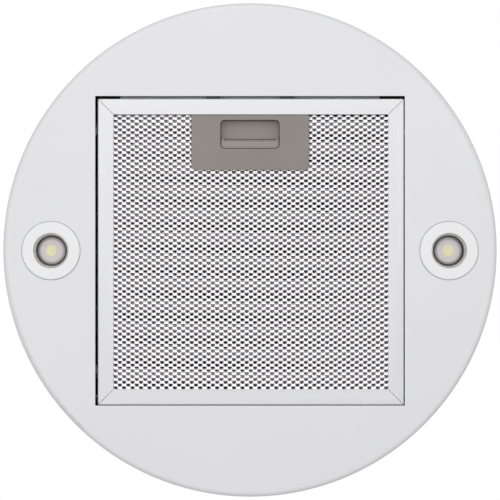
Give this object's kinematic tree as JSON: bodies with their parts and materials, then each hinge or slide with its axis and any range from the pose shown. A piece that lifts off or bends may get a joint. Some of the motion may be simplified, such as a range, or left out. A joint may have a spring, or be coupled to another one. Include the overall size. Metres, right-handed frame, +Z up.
{
  "type": "island range hood",
  "caption": "Cylindrical ceiling-hung range hood with telescopic sleeves, blower, LED spots and a square latched grease filter in its underside.",
  "frame": {"origin": "centre of the four-bolt pattern on the top face of the ceiling plate", "axes": "+Z up into the ceiling, -Y towards the side with the buttons and the filter latch, +X to the right seen from that side; the hood hangs below, down to z = -0.85"},
  "size_m": [0.39, 0.3934, 0.851],
  "materials": {
    "white_coat": "satin powder coat",
    "galvanised": "galvanised",
    "zinc_hardware": "zinc plated",
    "white_screw": "painted",
    "frame_aluminium": "satin anodised",
    "mesh_aluminium": "bright expanded metal",
    "latch_plastic": "satin moulded",
    "slider_plastic": "satin moulded",
    "housing_plastic": "moulded",
    "tongue_nylon": "moulded",
    "pivot_steel": "black oxide",
    "spring_steel": "bright wire",
    "blower_plastic": "moulded",
    "wheel_plastic": "moulded",
    "shaft_steel": "ground",
    "motor_paint": "satin paint",
    "flap_plastic": "moulded",
    "capacitor_can": "smooth",
    "gland_nylon": "moulded",
    "grommet_rubber": "matt",
    "glide_felt": "low-friction strip",
    "circuit_board": "solder mask",
    "terminal_plastic": "moulded",
    "led_metal": "turned",
    "led_lens": "frosted",
    "led_phosphor": "phosphor",
    "bezel_plastic": "satin moulded",
    "button_plastic": "smooth"
  },
  "bodies": {
    "ceiling_mount": {"ceiling_plate": "galvanised", "cable_grommet": "grommet_rubber", "upper_rails": "galvanised", "ceiling_rail_bolts": "zinc_hardware", "upper_sleeve": "white_coat", "upper_sleeve_screws": "white_screw"},
    "hood_body": {"lower_sleeve": "white_coat", "sleeve_glide_ring": "glide_felt", "bottom_panel": "white_coat", "chassis_frame": "galvanised", "filter_stop_rail": "galvanised", "motor_deck": "galvanised", "lower_rails": "galvanised", "rail_bolts": "zinc_hardware", "case_screws": "zinc_hardware", "motor_can": "motor_paint", "motor_bracket": "motor_paint", "capacitor": "capacitor_can", "outlet_collar": "galvanised", "flap_pin": "zinc_hardware", "control_box": "galvanised", "control_box_lid": "galvanised", "cable_gland": "gland_nylon", "control_board": "circuit_board", "terminal_block": "terminal_plastic", "button_bezel": "bezel_plastic", "button_board": "circuit_board", "volute_left": "blower_plastic", "volute_right": "blower_plastic", "inlet_ring_left": "blower_plastic", "inlet_ring_right": "blower_plastic", "led_bezel_left": "white_coat", "led_bezel_right": "white_coat", "led_can_left": "led_metal", "led_can_right": "led_metal", "led_lens_left": "led_lens", "led_lens_right": "led_lens", "led_chip_left": "led_phosphor", "led_chip_right": "led_phosphor"},
    "fan": {"impeller": "wheel_plastic", "motor_shaft": "shaft_steel"},
    "flap_left": {"flap_left": "flap_plastic"},
    "flap_right": {"flap_right": "flap_plastic"},
    "filter": {"filter_rail_front": "frame_aluminium", "filter_rail_rear": "frame_aluminium", "filter_rail_left": "frame_aluminium", "filter_rail_right": "frame_aluminium", "pivot_pins": "pivot_steel", "filter_mesh_face": "mesh_aluminium", "filter_mesh_core": "mesh_aluminium", "latch_plate": "latch_plastic", "latch_housing": "housing_plastic", "latch_springs": "spring_steel"},
    "latch": {"latch_slider": "slider_plastic", "latch_tongues": "tongue_nylon"},
    "button_power": {"button_power": "button_plastic"},
    "button_speed_1": {"button_speed_1": "button_plastic"},
    "button_speed_2": {"button_speed_2": "button_plastic"},
    "button_speed_3": {"button_speed_3": "button_plastic"},
    "button_light": {"button_light": "button_plastic"}
  },
  "joints": [
    {"name": "height_adjust", "type": "slide", "parent": "ceiling_mount", "child": "hood_body", "axis": [0, 0, -1], "range_m": [0, 0.2]},
    {"name": "fan_spin", "type": "hinge", "parent": "hood_body", "child": "fan", "pos_m": [0, 0.0725, -0.605], "axis": [1, 0, 0], "continuous": true},
    {"name": "flap_left_swing", "type": "hinge", "parent": "hood_body", "child": "flap_left", "pos_m": [0, 0, -0.45], "axis": [0, 1, 0], "range_deg": [0, 80]},
    {"name": "flap_right_swing", "type": "hinge", "parent": "hood_body", "child": "flap_right", "pos_m": [0, 0, -0.45], "axis": [0, -1, 0], "range_deg": [0, 80]},
    {"name": "filter_swing", "type": "hinge", "parent": "hood_body", "child": "filter", "pos_m": [0, 0.1157, -0.8468], "axis": [1, 0, 0], "range_deg": [0, 75]},
    {"name": "latch_slide", "type": "slide", "parent": "filter", "child": "latch", "axis": [0, 1, 0], "range_m": [0, 0.0055], "stiffness_N_per_m": 400, "springref_m": -0.004, "deforming": ["latch_springs"]},
    {"name": "press_power", "type": "slide", "parent": "hood_body", "child": "button_power", "axis": [0.2437, 0.9699, 0], "range_m": [0, 0.0018], "stiffness_N_per_m": 400, "springref_m": -0.001},
    {"name": "press_speed_1", "type": "slide", "parent": "hood_body", "child": "button_speed_1", "axis": [0.1228, 0.9924, 0], "range_m": [0, 0.0018], "stiffness_N_per_m": 400, "springref_m": -0.001},
    {"name": "press_speed_2", "type": "slide", "parent": "hood_body", "child": "button_speed_2", "axis": [0, 1, 0], "range_m": [0, 0.0018], "stiffness_N_per_m": 400, "springref_m": -0.001},
    {"name": "press_speed_3", "type": "slide", "parent": "hood_body", "child": "button_speed_3", "axis": [-0.1228, 0.9924, 0], "range_m": [0, 0.0018], "stiffness_N_per_m": 400, "springref_m": -0.001},
    {"name": "press_light", "type": "slide", "parent": "hood_body", "child": "button_light", "axis": [-0.2437, 0.9699, 0], "range_m": [0, 0.0018], "stiffness_N_per_m": 400, "springref_m": -0.001}
  ]
}
